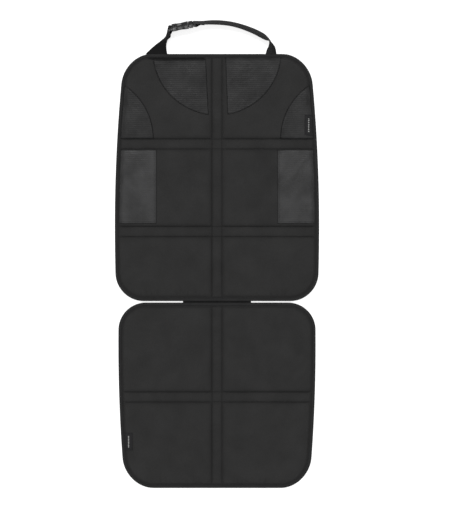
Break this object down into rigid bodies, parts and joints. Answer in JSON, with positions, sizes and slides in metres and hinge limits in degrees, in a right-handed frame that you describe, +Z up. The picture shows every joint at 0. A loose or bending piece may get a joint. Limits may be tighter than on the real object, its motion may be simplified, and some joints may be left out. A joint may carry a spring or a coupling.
{
  "type": "car seat protector",
  "caption": "Quilted, padded protector for a car seat's back and cushion, bound at the edge, joined at the crease, with a headrest strap and side-release buckle.",
  "frame": {"origin": "on the surface the protector lies on, at the middle of the seat pad's underside", "axes": "+X to the right as seen from above, +Y along the protector from the seat pad to the back pad and strap, +Z up through the thickness"},
  "size_m": [0.48, 1.0987, 0.0337],
  "materials": {
    "plain_cloth": "fine black woven polyester, matt",
    "open_cloth": "open ribbed dark grey mesh, slight sheen",
    "binding_tape": "folded woven tape, matt",
    "foam": "open-cell foam sheet",
    "coated_cloth": "black cloth with raised grip dots",
    "webbing": "ribbed webbing, slight sheen",
    "buckle_plastic": "moulded acetal, satin",
    "woven_label": "fine woven black ribbon"
  },
  "bodies": {
    "root": {"back_cover": "plain_cloth", "back_foam": "foam", "back_backing": "coated_cloth", "back_binding": "binding_tape", "seat_cover": "plain_cloth", "seat_foam": "foam", "seat_backing": "coated_cloth", "seat_binding": "binding_tape", "bridge_strip": "plain_cloth", "yoke_mesh_left": "open_cloth", "yoke_mesh_right": "open_cloth", "shoulder_mesh_left": "open_cloth", "shoulder_mesh_right": "open_cloth", "side_patch_left": "open_cloth", "side_patch_right": "open_cloth", "label_back": "woven_label", "label_seat": "woven_label", "strap_long": "webbing", "strap_tab": "plain_cloth", "buckle_socket": "buckle_plastic", "buckle_tongue": "buckle_plastic"}
  },
  "joints": []
}
